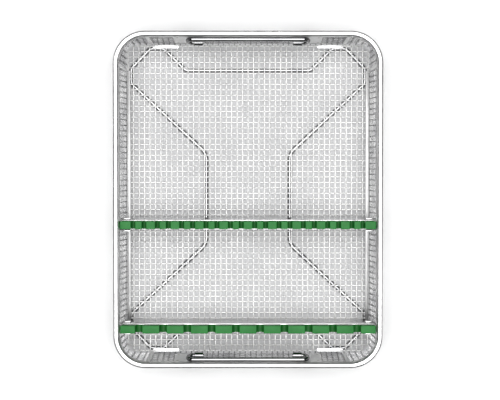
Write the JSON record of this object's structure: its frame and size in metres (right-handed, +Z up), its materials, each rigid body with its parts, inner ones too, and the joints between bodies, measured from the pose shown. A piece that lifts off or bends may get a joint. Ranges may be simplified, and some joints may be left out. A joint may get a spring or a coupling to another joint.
{
  "type": "instrument tray",
  "caption": "Rectangular wire-mesh instrument tray with a rolled sheet rim, bent rod underframe, fold-in end handles and lift-out notched silicone holder bars.",
  "frame": {"origin": "on the ground under the middle of the tray, the centre of the footprint's underside", "axes": "+Z up, +X to the right across the tray, +Y along it to the back end, away from the close-set holder bar"},
  "size_m": [0.24, 0.3, 0.05],
  "materials": {
    "steel_wire_mesh": "electropolished welded wire, satin",
    "polished_rod": "electropolished round rod, bright",
    "steel_sheet": "folded sheet, finely brushed",
    "green_silicone": "moulded silicone, soft satin"
  },
  "bodies": {
    "tray": {"base_angle_back": "steel_sheet", "base_angle_front": "steel_sheet", "base_angle_left": "steel_sheet", "base_angle_right": "steel_sheet", "corner_mesh_back_left": "steel_wire_mesh", "corner_mesh_back_right": "steel_wire_mesh", "corner_mesh_front_left": "steel_wire_mesh", "corner_mesh_front_right": "steel_wire_mesh", "floor_mesh": "steel_wire_mesh", "handle_eye_back_left": "steel_sheet", "handle_eye_back_right": "steel_sheet", "handle_eye_front_left": "steel_sheet", "handle_eye_front_right": "steel_sheet", "handle_plate_back_left": "steel_sheet", "handle_plate_back_right": "steel_sheet", "handle_plate_front_left": "steel_sheet", "handle_plate_front_right": "steel_sheet", "rail_seat_back_left": "steel_sheet", "rail_seat_back_right": "steel_sheet", "rail_seat_front_left": "steel_sheet", "rail_seat_front_right": "steel_sheet", "rim_back": "steel_sheet", "rim_corner_back_left": "steel_sheet", "rim_corner_back_right": "steel_sheet", "rim_corner_front_left": "steel_sheet", "rim_corner_front_right": "steel_sheet", "rim_front": "steel_sheet", "rim_left": "steel_sheet", "rim_right": "steel_sheet", "seam_strips_back": "steel_sheet", "seam_strips_front": "steel_sheet", "seam_strips_left": "steel_sheet", "seam_strips_right": "steel_sheet", "underframe_rod": "polished_rod", "wall_mesh_back": "steel_wire_mesh", "wall_mesh_front": "steel_wire_mesh", "wall_mesh_left": "steel_wire_mesh", "wall_mesh_right": "steel_wire_mesh"},
    "handle_back_bail": {"handle_back": "polished_rod"},
    "handle_front_bail": {"handle_front": "polished_rod"},
    "holder_bar_back": {"rail_back": "steel_sheet", "silicone_back": "green_silicone"},
    "holder_bar_front": {"rail_front": "steel_sheet", "silicone_front": "green_silicone"}
  },
  "joints": [
    {"name": "handle_back_hinge", "type": "hinge", "parent": "tray", "child": "handle_back_bail", "pos_m": [0, 0.14067, 0.03361], "axis": [1, 0, 0], "range_deg": [0, 180]},
    {"name": "handle_front_hinge", "type": "hinge", "parent": "tray", "child": "handle_front_bail", "pos_m": [0, -0.14067, 0.03361], "axis": [-1, 0, 0], "range_deg": [0, 180]},
    {"name": "holder_bar_back_lift", "type": "slide", "parent": "tray", "child": "holder_bar_back", "axis": [0, 0, 1], "range_m": [0, 0.06]},
    {"name": "holder_bar_front_lift", "type": "slide", "parent": "tray", "child": "holder_bar_front", "axis": [0, 0, 1], "range_m": [0, 0.06]}
  ]
}
